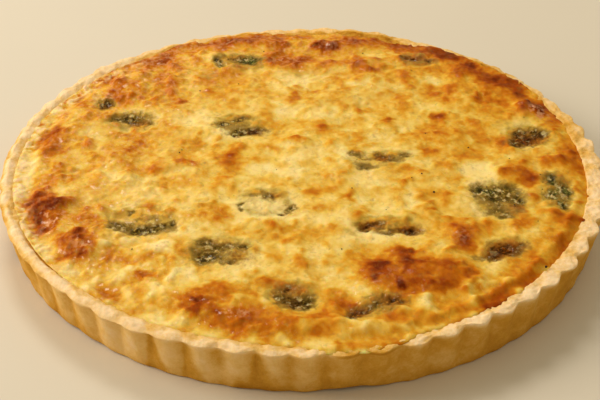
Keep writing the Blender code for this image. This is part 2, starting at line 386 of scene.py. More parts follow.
def overflow(angle):
    """How far an overflow has risen to the rim's top and spread over it, from 0 to 1, and its reach."""
    risen = spread = reach = 0.0
    for centre, half_width, longest in OVERFLOWS:
        beyond = away(angle, centre) - half_width
        here = ease(1 - (beyond - OVERFLOW_EASE) / OVERFLOW_EASE)
        if here > risen:
            risen, spread, reach = here, ease(1 - beyond / OVERFLOW_EASE), longest * MM
    return risen, spread, reach


def rim_top(angle):
    """Height of the rim's top."""
    return RIM_HEIGHT + RIM_WAVE * wave_round(angle, 34, 1.5) - RIM_DIP * overflow(angle)[0]


def inner_wall(z):
    """Inner radius of the case at a height between its floor and its rim."""
    share = (z - FLOOR_THICKNESS) / (RIM_HEIGHT - RIM_ROUNDING - FLOOR_THICKNESS)
    return mix(INNER_FLOOR_RADIUS, INNER_RIM_RADIUS, share)


def baked_surface(x, y):
    """Height of the baked surface, without its fine relief."""
    angle = math.degrees(math.atan2(y, x))
    to_edge = ease((math.hypot(x, y) - INNER_RIM_RADIUS + EDGE_BAND) / EDGE_BAND)
    drop = EDGE_DROP + LEFT_DROP * nearness(angle, LEFT_ANGLE, 45)
    drop += FRONT_DROP * nearness(angle, FRONT_LEFT_ANGLE, 30)
    height = RIM_HEIGHT + PLATEAU - to_edge * (PLATEAU + drop)
    relief = SWELL_HEIGHT * wave(x, y, SWELL_SPACING, 3.1) + LUMP_HEIGHT * wave(x, y, LUMP_SPACING, 8.7)
    for mound_x, mound_y, half_length, half_width, rise in MOUNDS:
        along, across = (x / MM - mound_x) / half_length, (y / MM - mound_y) / half_width
        relief += rise * MM * math.exp(-along ** 2 - across ** 2)
    return height + relief * (1 - 0.8 * to_edge)


print("surface at the middle", round(baked_surface(0, 0) / MM, 2), "mm, rim", round(rim_top(0) / MM, 2), "mm")

# %% [markdown]
# ## The pastry case
#
# The real case was rolled out, pressed into the tin and trimmed level, so its rim is a flat pale shelf with
# a crisp outer edge, and its wall is matt and finely crumbly. It is modelled as a turned piece is made by
# hand: one circle, extruded ring by ring up the wall, over the rim and down the inside. Then every point is
# moved by the fluting and by small unevenness, as a sculptor would, because no operator knows a flute.

# %% The case as rings
CASE_STEPS = 1080  # points round the pie
WALL_RINGS = 26
SHELF_RINGS = 12
INSIDE_RINGS = 8
CORNER_RINGS = 4
CRISP_EDGE = 0.0004  # radius of the rim's outer edge
INSIDE_DEPTH = 0.0060  # the inside is fine down to here, below the rim


def arc(centre, radius, start, end, count):
    """Points on an arc from start to end in degrees, without the first."""
    for step in range(1, count + 1):
        a = math.radians(mix(start, end, step / count))
        yield centre[0] + radius * math.cos(a), centre[1] + radius * math.sin(a)


def line(start, end, count):
    """Points on a line, without the first."""
    for step in range(1, count + 1):
        yield mix(start[0], end[0], step / count), mix(start[1], end[1], step / count)


def case_profile():
    """Radius and height of each ring, up the wall, over the rim and down the inside."""
    foot = (FOOT_RADIUS - FOOT_ROUNDING, FOOT_ROUNDING)
    points = [(foot[0], 0.0)]
    points += arc(foot, FOOT_ROUNDING, -90, 0, CORNER_RINGS)
    points += line(points[-1], (RIM_RADIUS, RIM_HEIGHT - CRISP_EDGE), WALL_RINGS)
    points += arc((RIM_RADIUS - CRISP_EDGE, RIM_HEIGHT - CRISP_EDGE), CRISP_EDGE, 0, 90, CORNER_RINGS - 1)
    points += line(points[-1], (INNER_RIM_RADIUS + RIM_ROUNDING, RIM_HEIGHT), SHELF_RINGS)
    inner_corner = (INNER_RIM_RADIUS + RIM_ROUNDING, RIM_HEIGHT - RIM_ROUNDING)
    points += arc(inner_corner, RIM_ROUNDING, 90, 180, CORNER_RINGS)
    lowest_seen = RIM_HEIGHT - INSIDE_DEPTH
    points += line(points[-1], (inner_wall(lowest_seen), lowest_seen), INSIDE_RINGS)
    points += line(points[-1], (INNER_FLOOR_RADIUS, FLOOR_THICKNESS), 2)
    return points


def name_piece(name):
    """Names the object that an operator has just made, and returns it."""
    piece = bpy.context.object
    piece.name = piece.data.name = name
    return piece


def open_edge():
    """Starts editing a mesh, with the edges round its open side selected."""
    bpy.ops.object.mode_set(mode="EDIT")
    bpy.context.tool_settings.mesh_select_mode = (False, True, False)
    bpy.ops.mesh.select_all(action="DESELECT")
    bpy.ops.mesh.select_non_manifold()


def close_edge():
    """Closes the selected ring with triangles round a point."""
    bpy.ops.mesh.edge_face_add()
    bpy.ops.mesh.poke()


def turn_case(profile):
    bpy.ops.object.select_all(action="DESELECT")
    bpy.ops.mesh.primitive_circle_add(vertices=CASE_STEPS, radius=profile[0][0], fill_type="TRIFAN")
    case = name_piece("pastry_case")
    open_edge()
    for (radius, height), (next_radius, next_height) in zip(profile, profile[1:]):
        scale = next_radius / radius
        bpy.ops.mesh.extrude_edges_move()
        bpy.ops.transform.resize(value=(scale, scale, 1), center_override=(0, 0, 0))
        bpy.ops.transform.translate(value=(0, 0, next_height - height))
    close_edge()
    bpy.ops.mesh.select_all(action="SELECT")
    bpy.ops.mesh.normals_make_consistent(inside=False)
    bpy.ops.object.mode_set(mode="OBJECT")
    return case


profile = case_profile()
case = turn_case(profile)
print("case:", len(profile), "rings of", CASE_STEPS, "points")

# %% [markdown]
# The flutes are deepest at the rim and fade towards the foot. The rim's top follows the tin outside and
# stays round inside. Pastry is never exact: flutes stray, the wall leans, the rim dips and breaks into
# small flakes, and the foot lifts a little. How browned each point is, with painted shade and light on the
# wall, and whether it lies on the rim's top, are kept as attributes, which the material will read.

# %% Unevenness of the case
# Lifts of the foot: angle, half-width in degrees and height
FOOT_LIFTS = ((278, 5, 0.0013), (228, 7, 0.0008), (150, 6, 0.0009), (35, 7, 0.0010))
CRUMB = 0.00006
BLISTER = 0.00022
FLAKE = 0.0005
CHIP = 0.0009
BEAD_HEIGHT = 0.0026  # over this height the flutes fade into the rim's rounded edge
BEAD_FADE = 0.62
TOP_HEIGHT = 0.0040  # over this height the unevenness of the rim's top fades out
INNER_SLOPE = 0.0005  # the rim slopes down to the filling
INNER_SLOPE_LEFT = 0.0010
INNER_SLOPE_WIDTH = 0.0036
LIP_RIGHT = 0.0013  # how far the rim's top reaches in over the filling, at the right and at the back
LIP_BACK = 0.0004
CRACK_ANGLE = 213
CRACK_WIDTH = 9  # degrees to each side
CRACK_PLACE = 0.0011  # from the rim's inner edge
GROOVE_DEPTH = 0.0010  # of the crack
GROOVE_WIDTH = 0.0007


def wave_3d(x, y, z, spacing, layer):
    return noise.noise(Vector((x / spacing, y / spacing, z / spacing + layer)))


def under_rim(z, height):
    """0 this far under the rim, 1 at the rim, and smooth between."""
    return ease((z - RIM_HEIGHT + height) / height)


def on_shelf(z):
    """1 on the rim's flat top, 0 on the wall."""
    return ease((z / RIM_HEIGHT - 0.93) / 0.05)


def flaky_edge(angle):
    """How far the rim's outer edge sticks out as flakes or is chipped away."""
    flakes = wave_round(angle, 95, 2.2) * (0.8 + 0.8 * nearness(angle, 15, 50))
    chips = wave_round(angle, 210, 7.9)
    return FLAKE * flakes + CHIP * min(chips + 0.35, 0.0)


def lip(angle):
    """How far the rim's top reaches in over the filling."""
    depth = max(LIP_RIGHT * nearness(angle, 345, 26), LIP_BACK * nearness(angle, 82, 22))
    return depth * (1 + 0.5 * wave_round(angle, 70, 1.9) + 0.4 * wave_round(angle, 170, 2.9))


def cracked(angle):
    """1 where the filling has come away from the pastry."""
    return nearness(angle, CRACK_ANGLE, CRACK_WIDTH, 1.5)


def groove(angle, beyond):
    """Depth of the open crack, this far beyond the rim's inner edge."""
    crack_width = GROOVE_WIDTH * (1 + 1.1 * wave_round(angle, 110, 3.9))
    return GROOVE_DEPTH * cracked(angle) * ease((CRACK_PLACE + crack_width - beyond) / 0.0004)


def inner_slope(angle, beyond):
    """How far the rim's top lies under its outer part, this far beyond its inner edge."""
    depth = mix(INNER_SLOPE, INNER_SLOPE_LEFT, nearness(angle, LEFT_ANGLE, 36))
    return depth * ease(1 - beyond / INNER_SLOPE_WIDTH)


def shelf_rough(angle):
    """How rough the rim's top is: most at the right."""
    return 0.8 + 0.3 * nearness(angle, 350, 55)


def soft_edge(angle):
    """How rounded the rim's outer edge is."""
    return 0.15 + 0.85 * nearness(angle, 208, 42)


print("the rim's edge strays", [round(flaky_edge(angle) / MM, 2) for angle in range(0, 360, 60)], "mm")

# %% Fluting and browning the case
# How strongly the flutes are striped with painted shade and browning, and how browned the wall and the rim
# are, the wall's right front with painted shade: strength, angle, width in degrees, and reach in widths
FLUTE_SHADE_AND_TOAST = ((0.10, 262, 14), (-0.24, 308, 34), (-0.15, 228, 24), (-0.16, 332, 22))
WALL_TOAST_AND_SHADE = ((-0.05, 228, 22), (0.17, 308, 34), (0.20, 186, 34))
SHELF_TOAST = ((0.34, 45, 40, 1.5), (0.15, 111, 22, 1.4), (-0.02, LEFT_ANGLE, 45), (-0.02, 345, 40))


def summed(angle, places):
    """How strong all of these places are together at an angle."""
    return sum(strength * nearness(angle, *place) for strength, *place in places)


def shape_case_point(point):
    """Where a point of the turned case lies on the fluted, uneven one."""
    x, y, z = point
    radius = math.hypot(x, y)
    if radius < INNER_FLOOR_RADIUS * 0.9:
        return point
    angle = math.degrees(math.atan2(y, x))
    share = z / RIM_HEIGHT
    inner = inner_wall(z)
    through = min(max((radius - inner) / (mix(FOOT_RADIUS, RIM_RADIUS, share) - inner), 0.0), 1.0)
    depth = mix(FLUTE_DEPTH_FOOT, flute_depth(angle), share)
    depth *= 1 - BEAD_FADE * soft_edge(angle) * under_rim(z, BEAD_HEIGHT)
    lean = WALL_WAVE * share * wave_round(angle, 26, 4.2)
    near_rim = ease((z - RIM_HEIGHT + 0.0022) / 0.0020)
    rough = BLISTER * wave_3d(x, y, z, 0.0052, 1) + CRUMB * wave_3d(x, y, z, 0.0011, 5)
    radius += through * (lean - depth * (1 - lobe(angle))) + flaky_edge(angle) * near_rim * through ** 3
    radius += rough if through > 0.9 else -rough * (1 - near_rim)
    beyond = radius - inner
    radius -= lip(angle) * (1 - through) * under_rim(z, TOP_HEIGHT)
    z += ease(share) * (rim_top(angle) - RIM_HEIGHT)
    z += near_rim * (0.8 * rough + 0.00020 * wave_3d(x, y, z, 0.0024, 3))
    near_top = under_rim(z, TOP_HEIGHT)
    z -= 0.0013 * ease((through - 0.58) / 0.42) * soft_edge(angle) * near_top
    z += 0.00050 * shelf_rough(angle) * near_top * wave_3d(x, y, z, 0.0031, 12)
    z += 0.00040 * shelf_rough(angle) * near_top * wave_3d(x, y, z, 0.0015, 14)
    z -= (inner_slope(angle, beyond) + groove(angle, beyond)) * near_top
    z += 0.00022 * nearness(angle, LEFT_ANGLE, 40) * near_top * (1 - through) * wave_3d(x, y, z, 0.0018, 9)
    lifted = sum(lift * math.exp(-((away(angle, centre) / width) ** 2)) for centre, width, lift in FOOT_LIFTS)
    z += lifted * ease(1 - share * 2.2)
    a = math.radians(angle)
    return Vector((radius * math.cos(a), radius * math.sin(a), max(z, 0.0)))


def case_toast_and_shade(point):
    """How browned the pastry is here, from 0 to 1, with painted shade in the flutes' valleys and at the right
    front, and painted light under the rim's edge.
    """
    x, y, z = point
    angle = math.degrees(math.atan2(y, x))
    share = z / RIM_HEIGHT
    shelf = on_shelf(z)
    crest = lobe(angle) - 0.5
    below_edge = ease((0.97 - share) / 0.14)
    toast = 0.43 + 0.11 * wave_3d(x, y, z, 0.016, 2) + 0.09 * wave_3d(x, y, z, 0.006, 4)
    # The flutes' valleys are darker and their crests paler, partly browning and partly painted shade. Just
    # under the rim the wall is painted paler, partly the rim's cream and partly painted light.
    flute_shade_and_toast = (0.26 + summed(angle, FLUTE_SHADE_AND_TOAST)) * ease(share * 1.4) * below_edge
    toast -= flute_shade_and_toast * crest + 0.20 * (1 - below_edge)
    toast += shelf * (summed(angle, SHELF_TOAST) - 0.09 - 0.16 * crest)
    # The wall is darker at the left, darker at the right front as painted shade, and a little paler at the
    # front left.
    toast += (1 - shelf) * summed(angle, WALL_TOAST_AND_SHADE)
    toast += 0.34 * nearness(angle, 281, 4, 1.8) * ease((share - 0.86) / 0.06) + 0.09 * ease(1 - share * 5)
    back = nearness(angle, 85, 50)
    sides = min(0.5 * nearness(angle, 330, 50, 1.9) + back + nearness(angle, 222, 40), 1.0)
    ragged = 0.0026 * (1 + wave_round(angle, 60, 4.4) + 0.6 * wave_round(angle, 150, 6.4))
    inside = INNER_RIM_RADIUS + ragged * (0.4 + sides) - math.hypot(x, y)
    toast += (0.24 + 0.10 * back) * sides * ease(inside / 0.0018)
    return min(max(toast, 0.0), 1.0)


def set_attribute(piece, name, values):
    """Keeps a number for each point of a piece."""
    kept = piece.data.attributes.new(name, "FLOAT", "POINT")
    kept.data.foreach_set("value", np.asarray(values, np.float32))


def shape_case(case):
    points = [vertex.co for vertex in case.data.vertices]
    for point in points:
        point[:] = shape_case_point(point)
    set_attribute(case, "toast", [case_toast_and_shade(point) for point in points])
    set_attribute(case, "shelf", [on_shelf(point.z) for point in points])
    case.data.shade_smooth()


def triangles(piece):
    return sum(len(face.vertices) - 2 for face in piece.data.polygons)


shape_case(case)
print("case triangles", triangles(case))

# %% [markdown]
# Shortcrust is matt. Its colour runs from pale cream through gold to light brown, in soft mottles under a
# fine sandy grain, which is also its bump. The attribute of browning and painted shade carries the large
# changes, and noise on Object coordinates carries what is finer than the mesh.

# %% The shortcrust finish
# The stops of a colour ramp: position, red, green and blue
PASTRY_STOPS = (
    (0.0, 244, 216, 174), (0.35, 230, 188, 114), (0.6, 206, 152, 56), (0.85, 174, 116, 24),
    (1.0, 136, 80, 12),
)


def shortcrust():
    look = Finish("shortcrust", 0.78, 0.06, Subsurface_Weight=0.12, Subsurface_Radius=(1.0, 0.45, 0.2),
                  Subsurface_Scale=0.0012)
    toast, shelf = look.read("toast"), look.read("shelf")
    soft = look.noise(0.0040, 4.0)
    sandy = look.noise(0.0009, 3.0, 0.7)
    fine = look.noise(0.00035, 2.0, 0.7)
    crumbs = look.noise(0.0021, 2.0, 0.5)
    mottled = mottle(toast, (soft, 0.42), (sandy, 0.20), (fine, 0.12))
    mottled += (sandy - 0.5) * shelf * 0.30 + (crumbs - 0.5) * shelf * 0.26
    look.set("Base Color", look.ramp(mottled, PASTRY_STOPS))
    look.set("Roughness", mottle(0.78, (sandy, 0.25)))
    look.bump((soft, 0.5, 0.0004), (sandy, 0.9, 0.00030), (fine, 0.6, 0.00012))
    return look.material


def hand_over(piece, material, slot, *nodes):
    """Gives a finished piece its material and its body, and hides the solids it stands for; slot is not used.
    """
    piece.data.materials.clear()
    piece.data.materials.append(material)
    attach(piece, "root")
    if nodes:
        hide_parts(*nodes)


hand_over(case, shortcrust(), "pastry", "crust")
print("case box", [round(side / MM, 1) for side in case.dimensions], "mm")

# %% [markdown]
# ## The baked filling
#
# Egg custard with melted cheese on top puffs in the oven, browns on its high places and settles as it
# cools, so the surface is a skin of puckers, strings and blisters. A disc of even triangles suits it: six
# round a point, subdivided until a cell is under a millimetre. The relief is laid on in layers, from the
# mounds that the solid has down to wrinkles. What the oven did just here is given as spots.

# %% Browned places, pale places and leaves
# Spots are x, y, half-length and half-width in millimetres, and strength in per cent. Browned places:
BROWNED = (
    (-66, 95, 4, 8, 35), (-72, 85, 9, 8, 22), (-62, 104, 10, 4, 35), (-45, 107, 13, 4, 42),
    (-30, 109, 8, 6, 40), (-19, 112, 6, 7, 45), (-11, 106, 5, 9, 50), (-9, 90, 6, 8, 28), (-60, 82, 6, 4, 18),
    (-78, 67, 6, 5, 35), (-83, 58, 5, 6, 32), (-77, 57, 8, 7, 20), (-60, 66, 4, 3, 25), (-65, 50, 3, 6, 30),
    (-55, 51, 4, 3, 42), (-60, 55, 13, 11, 14), (-85, 35, 5, 8, 30), (-107, 17, 6, 9, 50),
    (-105, 8, 5, 6, 40), (-104, 24, 5, 5, 30), (-73, 10, 3, 3, 35), (-45, 16, 3, 5, 30), (-30, 13, 6, 4, 25),
    (-50, 1, 5, 2, 40), (-70, 20, 11, 6, 18), (-4, 52, 3, 8, 25), (12, 103, 9, 6, 85), (23, 109, 8, 6, 50),
    (2, 113, 5, 4, 40), (15, 87, 7, 5, 32), (-9, 91, 9, 6, 42), (26, 86, 4, 6, 38), (33, 79, 3, 4, 30),
    (43, 106, 5, 4, 30), (47, 95, 3, 8, 35), (53, 89, 10, 5, 42), (27, -97, 9, 5, 34), (57, 99, 6, 3, 38),
    (66, 94, 5, 4, 42), (78, 86, 3, 5, 40), (71, 80, 3, 7, 35), (87, 74, 8, 6, 25), (97, 63, 3, 10, 26),
    (81, 58, 4, 7, 36), (105, 46, 6, 6, 42), (99, 45, 4, 3, 35), (113, 40, 4, 6, 35), (66, 55, 6, 7, 32),
    (56, 60, 6, 4, 25), (59, 38, 4, 4, 38), (38, 35, 3, 3, 38), (25, 43, 3, 3, 25), (57, 25, 5, 7, 26),
    (26, 22, 5, 8, 18), (8, 28, 6, 6, 20), (6, 60, 4, 3, 35), (84, 17, 4, 5, 42), (75, 7, 4, 5, 42),
    (67, 5, 3, 5, 24), (-89, -5, 3, 4, 30), (-66, -6, 7, 5, 28), (-57, -15, 4, 5, 36), (-47, -2, 4, 3, 40),
    (-36, -37, 6, 6, 34), (-61, -34, 3.5, 3, 40), (-53, -37.5, 4, 3, 40), (-105, -30, 6, 8, 80),
    (-103, -38, 6, 9, 100), (-102, -37, 4, 7, 100), (-100, -49, 4, 5, 90), (-97, -40, 6, 9, 45),
    (-87, -56, 8, 6, 74), (-86, -65, 6, 7, 74), (-82, -46, 6, 6, 40), (-87, -38, 5, 5, 25),
    (-60, -79, 6, 4, 40), (-72, -87, 4, 4, 30), (-66, -70, 11, 6, 22), (-37, -94, 13, 7, 52),
    (-38, -99, 8, 6, 38), (-25, -102, 13, 6, 46), (-28, -87, 8, 4, 30), (-10, -84, 6, 4, 35),
    (-3, -105, 6, 3, 32), (-18, -109, 15, 5, 32), (3, -112, 10, 4, 30), (-46, -62, 4, 7, 20),
    (37, -4, 6, 4, 22), (43, -5, 3, 3, 25), (62, -13, 4, 4, 34), (87, -7, 6, 4, 50), (92, -12, 5, 5, 60),
    (84, -45, 3, 5, 40), (87, -37, 3, 5, 34), (17, -26, 3, 3, 42), (5, -34, 4, 3, 25), (12, -46, 3, 3, 25),
    (7, -58, 3, 3, 25), (51, -35, 3, 2, 28), (102, -39, 5, 6, 34), (93, -27, 3, 6, 26), (62, -52, 6, 8, 58),
    (61, -59, 4, 5, 50), (31, -73, 9, 7, 60), (38, -80, 9, 7, 74), (43, -71, 6, 5, 52), (36, -89, 6, 6, 66),
    (27, -79, 6, 7, 46), (39, -65, 8, 4, 58), (55, -75, 8, 6, 50), (53, -83, 8, 6, 58), (63, -80, 5, 6, 34),
    (48, -87, 6, 4, 30), (10, -93, 5, 7, 34), (6, -104, 5, 4, 38), (18, -97, 5, 4, 42), (31, -104, 6, 4, 34),
    (15, -119, 5, 3, 55), (90, -68, 5, 5, 16), (101, 4, 5, 8, 20),
)
# Where the custard stayed soft and pale
PALE = (
    (-5, 68, 13, 8, 16), (32, 68, 10, 6, 14), (57, 72, 9, 6, 16), (-47, 35, 9, 7, 14), (-38, 24, 8, 8, 12),
    (5, 8, 16, 10, 10), (-75, -10, 6, 6, 12), (-62, -24, 10, 5, 12), (-45, -79, 7, 7, 16), (75, -6, 7, 7, 20),
    (74, -15, 4, 6, 14), (28, -14, 14, 6, 12), (25, -54, 12, 5, 12), (70, -72, 7, 5, 14),
    (-113, -8, 3, 16, 16), (-8, -42, 16, 6, 12), (0, 40, 16, 8, 8), (48, 0, 8, 6, 10), (-93, 55, 4, 6, 10),
    (35, 95, 6, 3, 8), (85, -50, 5, 3, 12), (-20, -75, 9, 4, 10), (-15, -31, 9, 6, 30), (-26, -65, 4, 3, 20),
    (66, -30, 5, 12, 10), (15, 38, 12, 6, 6),
)
# Blisters in the brown places, wet, where a pink painted highlight is laid
BLISTERS = (
    (-97, -44, 4, 6, 100), (-84, -61, 4, 4, 50), (-23, -102, 6, 3, 40), (104, 43, 5, 5, 60),
    (-9, 91, 7, 5, 50), (33, -80, 6, 4, 20), (-103, 14, 3, 4, 50), (61, -54, 4, 5, 20),
)
# Where spinach shines through a thin skin of custard
UNDER_SKIN = (
    (-2, 76, 4, 3, 80), (-44, 75, 3, 4, 70), (18, -51, 3, 2, 60), (-77, -37, 3, 5, 50), (88, 30, 4, 4, 60),
    (24, -98, 5, 4, 60), (95, 33, 8, 5, 40), (69, -37, 3, 2, 50), (-31, 87, 9, 5, 70), (-28, 31, 9, 7, 60),
)
# Where the film of custard over a clump is pale
CREAMY = (
    (-14, -31, 8, 6, 60), (-26, -65, 6, 4, 70), (-60, -37, 9, 4, 70), (31, 5, 10, 4, 30),
)
# Where the surface stayed smooth
SMOOTH_PLACES = (
    (-67, -71, 17, 10, 80), (-40, -82, 8, 5, 50), (-8, -60, 10, 6, 30),
)
# Leaves that browned
RUSTY = (
    (79, -60, 8, 6, 100), (73, -65, 5, 4, 80), (26, -46, 6, 4, 100), (-9, -25, 4, 2.5, 80),
    (-22, -67, 5, 4, 70), (41, -48, 6, 4, 80), (-20.5, 25, 4, 3, 80), (33, 4, 4, 3, 80), (97, 19, 9, 7, 80),
    (-87, 48, 4, 4, 50), (-3, -87, 5, 3, 70), (86, -34, 4, 3, 70), (-31, -57, 4, 2, 40), (-74, -38, 4, 4, 60),
    (20, -101, 5, 4, 80), (33, -94, 6, 4, 70), (-71, 31, 5, 4, 70), (53, 91, 9, 5, 80), (-32, 92, 5, 3, 40),
    (-4, -95, 4, 4, 40),
)
# Leaves that stayed green
FRESH = (
    (103, -21, 7, 14, 100), (-25, 90, 7, 5, 90), (88, -19, 4, 4, 50), (74, -22, 5, 6, 50),
)
print(len(BROWNED), "browned places,", len(PALE), "pale places")

# %% The leaves of each clump
# A spot for each leaf, from the first clump's to the last's; the strength is how bare it is
LEAVES = (
    (-25, 90, 6, 4, 100), (-39, 87, 2, 4.5, 90), (-32, 92, 3, 2, 50), (-75, 36, 5.5, 3.5, 95),
    (-70, 32, 4, 2.5, 50), (-81, 35, 3, 2.5, 55), (-87.5, 48.5, 3.6, 3.2, 95), (-34.5, 30, 2.6, 2.4, 80),
    (-27.5, 35, 2.6, 1.6, 80), (-28, 23, 3, 1.8, 85), (-21, 25.5, 4, 2.8, 75), (-29, 28, 7, 5, 35),
    (52, 91, 4, 2.6, 65), (59, 90, 2, 2, 65), (49, 93, 2, 1.5, 50), (91, 16, 4, 3.4, 100),
    (96, 19, 4.5, 4, 100), (102, 24, 3.6, 3.6, 100), (93, 24, 3, 3, 70), (22, 6, 2.2, 1.8, 60),
    (26, 3.5, 2.5, 1.6, 45), (33, 5, 3, 2.2, 60), (38, 3, 3.5, 2.2, 55), (43, 6, 2.2, 1.6, 60),
    (26, -3, 3.2, 1.8, 60), (-71.5, -46.5, 4, 2.4, 95), (-63, -49.5, 5.5, 2.8, 100),
    (-56, -47.5, 4.5, 2.4, 95), (-68, -36.5, 1.8, 1.6, 70), (-60, -42, 5, 1.6, 35),
    (-50.5, -44.5, 1.6, 1.2, 80), (-13.5, -26, 2.6, 2.4, 85), (-4.5, -34, 2.2, 3.2, 75),
    (-9, -38, 1.1, 0.9, 95), (-24.3, -34.5, 1.2, 1.6, 90), (-24.5, -31, 1.2, 1, 70), (-20, -25, 3, 1, 40),
    (-36.5, -67, 5, 4.2, 95), (-31, -60, 5.5, 2.2, 80), (-22.5, -61, 2, 1.8, 75), (-28, -71, 3, 1.2, 60),
    (-37, -58, 3, 2.2, 60), (-27, -66, 7, 5, 32), (-3, -95, 3.6, 3.4, 100), (-8, -92, 3, 3, 85),
    (2, -94, 2.6, 3.4, 75), (-6, -87, 4, 2, 70), (73, -20, 3.6, 3.4, 90), (82, -20, 4.2, 3.8, 95),
    (77, -27, 5.5, 3.2, 90), (86, -28, 2.6, 3.4, 75), (78, -35, 4.5, 3, 65), (80, -40, 2, 1.8, 60),
    (80, -24, 8, 6, 45), (102, -13, 3.2, 4.2, 100), (106, -21, 2.6, 4.4, 100), (100.5, -24, 2.6, 3.2, 90),
    (104, -31, 2.2, 3.4, 90), (42, -49, 4, 2.8, 95), (34, -50.5, 3.5, 1.4, 65), (25, -47.5, 3, 2, 75),
    (29, -46.5, 3, 1.8, 60), (79, -60.5, 5.6, 3.6, 100), (72, -66.5, 4.6, 1.8, 100), (75, -63, 3, 2.4, 90),
    (33, -94, 4.4, 2, 95), (18, -102, 2.2, 2.4, 95), (26, -97, 3.4, 2, 60), (22, -99.5, 2.2, 1.6, 65),
)
LEAF_SINK = 0.0009
LEAF_CRUMPLE = 0.0006
LEAF_GROWTH = 1.25  # the leaves' soft spots are this much larger than the leaves look
GROWN_LEAVES = [
    (x, y, half_length * LEAF_GROWTH, half_width * LEAF_GROWTH, bareness)
    for x, y, half_length, half_width, bareness in LEAVES
]
print(len(LEAVES), "leaves")

# %% [markdown]
# Numbers for all points at once are quicker with numpy than point by point. Each spot is a soft hump in a
# map. Noise bends the coordinates first, so that no spot is a clean ellipse.

# %% A flat disc, and maps of noise
DISC_CUTS = (5, 28)  # a side of each of the six triangles is cut into (5 + 1) * (28 + 1) cells


def flat_disc(name, all_cuts):
    """A six-sided disc of even triangles, one unit in radius."""
    bpy.ops.object.select_all(action="DESELECT")
    bpy.ops.mesh.primitive_circle_add(vertices=6, radius=1.0, fill_type="TRIFAN")
    disc = name_piece(name)
    bpy.ops.object.mode_set(mode="EDIT")
    bpy.ops.mesh.select_all(action="SELECT")
    for cuts in all_cuts:
        bpy.ops.mesh.subdivide(number_cuts=cuts)
    bpy.ops.object.mode_set(mode="OBJECT")
    return disc


def points_of(piece):
    points = np.empty(len(piece.data.vertices) * 3)
    piece.data.vertices.foreach_get("co", points)
    return points.reshape(-1, 3)


def put_points(piece, points):
    piece.data.vertices.foreach_set("co", np.asarray(points, np.float32).ravel())
    piece.data.update()


def round_out(points):
    """Angle and share of the radius of each point when the six-sided disc is made round."""
    angle = np.arctan2(points[:, 1], points[:, 0])
    within_side = (angle + math.radians(390)) % math.radians(60) - math.radians(30)
    share = np.hypot(points[:, 0], points[:, 1]) * np.cos(within_side) / math.cos(math.radians(30))
    return angle, np.clip(share, 0, 1)


def noise_map(x, y, spacing, layer):
    return np.array([noise.noise(Vector((a / spacing, b / spacing, layer))) for a, b in zip(x, y)])


def cell_map(x, y, spacing, layer):
    """Distances to the four nearest of scattered points, in spacings."""
    return np.array([noise.voronoi(Vector((a / spacing, b / spacing, layer)))[0] for a, b in zip(x, y)])


def smooth(share):
    share = np.clip(share, 0, 1)
    return share * share * (3 - 2 * share)


print("noise at the middle", noise_map([0], [0], 1, 0.5))

# %% The relief of the filling
DOTS_OFTEN = -0.16  # of -1 to 1: how many of the scattered points have a browned bump
DOT_SQUEEZE = 0.72  # how wide the bumps are along X, as a share of their length along Y
DOT_RISE = 0.0006
BLISTER_RISE = 0.00108
BUMP_RISE = 0.00070
STRING_RISE = 0.00020
ROPE_ANGLE = 312
ROPE_WIDTH = 28  # degrees to each side
ROPE_INSIDE = 0.0050  # from the rim's inner edge
ROPE_RISE = 0.0013
ROPE_THICKNESS = 0.0022


def domes(x, y, spacing, layer):
    """Soft round bumps about this far apart, that run into one another."""
    humps = np.exp(-((cell_map(x, y, spacing, layer) / 0.42) ** 2)).sum(axis=1)
    return np.clip((humps - 0.30) / 0.80, 0, 1.2)


def rope(x, y):
    """The broken ridge that the filling has pushed up along the rim at the right front."""
    angle = np.degrees(np.arctan2(y, x)) % 360
    inside = INNER_RIM_RADIUS - ROPE_INSIDE - np.hypot(x, y) + 0.0016 * noise_map(x, y, 0.015, 57)
    near = smooth(1.6 - np.abs(angle - ROPE_ANGLE) / ROPE_WIDTH)
    return near * np.exp(-((inside / ROPE_THICKNESS) ** 2)) * (0.70 + 1.1 * noise_map(x, y, 0.0050, 58))


def washed(x, y, spots):
    """Spots laid over one another: 0 where there is none, nearly 1 at most."""
    clear = np.ones_like(x)
    for spot_x, spot_y, half_length, half_width, strength in spots:
        squared = ((x / MM - spot_x) / half_length) ** 2 + ((y / MM - spot_y) / half_width) ** 2
        clear *= 1 - min(0.012 * strength, 0.97) * np.exp(-squared ** 1.3)
    return 1 - clear


def left_fringe(x, y):
    """1 along the rim at the left, where the filling stayed pale and lumpy."""
    edge = smooth((np.hypot(x, y) / INNER_RIM_RADIUS - 0.93) / 0.06)
    return edge * smooth(1.7 - np.abs(np.degrees(np.arctan2(y, -x)) - 6) / 34)


def dots(x, y, spacing, layer):
    """Round soft bumps on some of the scattered points this far apart."""
    near = np.zeros_like(x)
    for i, (a, b) in enumerate(zip(x, DOT_SQUEEZE * y)):
        distances, centres = noise.voronoi(Vector((a / spacing, b / spacing, layer)))
        if noise.cell(centres[0] * 57.0) < DOTS_OFTEN:
            near[i] = 1 - distances[0] / 0.50
    return smooth(near)


def brown_dots(x, y):
    """The small round bumps that browned first."""
    bent_x = x + 0.0022 * noise_map(x, y, 0.0060, 41)
    bent_y = y + 0.0022 * noise_map(x, y, 0.0060, 43)
    return np.maximum(dots(bent_x, bent_y, 0.0096, 47), 0.75 * dots(bent_x, bent_y, 0.0062, 48))


